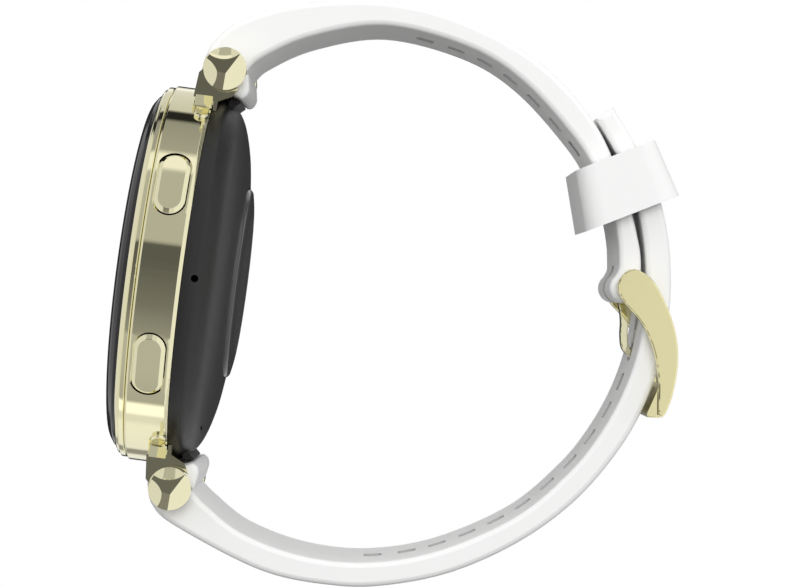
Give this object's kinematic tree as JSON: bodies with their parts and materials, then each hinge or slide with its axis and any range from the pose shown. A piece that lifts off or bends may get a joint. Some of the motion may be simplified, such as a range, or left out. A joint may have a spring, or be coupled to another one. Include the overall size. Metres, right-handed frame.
{
  "type": "golf gps watch",
  "caption": "Round wrist watch with a polished metal case, two side buttons, domed black back cover and a buckled slotted strap with keeper and tongue buckle.",
  "frame": {"origin": "on the wrist's axis, in the middle of the buckled strap loop", "axes": "+X from the dial to the buckle, +Y to 9 o'clock (the buttons are on the -Y side), +Z to 12 o'clock"},
  "size_m": [0.0598, 0.0408, 0.062],
  "materials": {
    "gold_metal": "polished pale gold plating with hard reflections",
    "strap_rubber": "smooth white fluororubber, slight sheen",
    "cover_plastic": "fine matt black",
    "front_glass": "black-backed domed glass, polished",
    "sensor_glass": "dark tinted lens, polished",
    "seal_rubber": "matt black",
    "steel": "plain turned steel",
    "black_plastic": "smooth black",
    "circuit_board": "green solder mask",
    "copper": "lacquered copper wire",
    "battery_foil": "satin foil"
  },
  "bodies": {
    "case": {"case_middle": "gold_metal", "bezel_ring": "gold_metal", "glass_gasket": "seal_rubber", "front_glass": "front_glass", "display_module": "black_plastic", "board_screw_a": "steel", "board_screw_b": "steel", "board_screw_c": "steel", "main_board": "circuit_board", "battery": "battery_foil", "vibration_motor": "steel", "microphone": "steel", "back_cover": "cover_plastic", "back_gasket": "seal_rubber", "sensor_window": "sensor_glass", "sensor_board": "circuit_board", "charging_coil": "copper", "button_upper_seal": "seal_rubber", "button_upper_switch": "black_plastic", "button_lower_seal": "seal_rubber", "button_lower_switch": "black_plastic", "lug_upper": "gold_metal", "lug_bar_upper": "steel", "lug_cap_upper_near": "gold_metal", "lug_cap_upper_far": "gold_metal", "lug_lower": "gold_metal", "lug_bar_lower": "steel", "lug_cap_lower_near": "gold_metal", "lug_cap_lower_far": "gold_metal", "strap_upper": "strap_rubber", "strap_lower": "strap_rubber", "buckle_pin": "steel"},
    "upper_button": {"button_upper": "gold_metal", "button_upper_clip": "steel"},
    "lower_button": {"button_lower": "gold_metal", "button_lower_clip": "steel"},
    "keeper": {"keeper_loop": "strap_rubber"},
    "buckle": {"buckle_frame": "gold_metal"},
    "tongue": {"buckle_tongue": "gold_metal"}
  },
  "joints": [
    {"name": "button_upper_press", "type": "slide", "parent": "case", "child": "upper_button", "axis": [0, 0.8862, -0.4633], "range_m": [0, 0.00035], "stiffness_N_per_m": 700},
    {"name": "button_lower_press", "type": "slide", "parent": "case", "child": "lower_button", "axis": [0, 0.8862, 0.4633], "range_m": [0, 0.00035], "stiffness_N_per_m": 700},
    {"name": "keeper_travel", "type": "hinge", "parent": "case", "child": "keeper", "pos_m": [0, 0, 0.006], "axis": [0, -1, 0], "range_deg": [-2, 24]},
    {"name": "buckle_swing", "type": "hinge", "parent": "case", "child": "buckle", "pos_m": [0.0192, 0, 0.0049], "axis": [0, -1, 0], "range_deg": [0, 4]},
    {"name": "tongue_swing", "type": "hinge", "parent": "case", "child": "tongue", "pos_m": [0.0192, 0, 0.0049], "axis": [0, -1, 0], "range_deg": [0, 4]}
  ],
  "couplings": [
    {"joint": "tongue_swing", "follows": "buckle_swing", "ratio": 1}
  ]
}
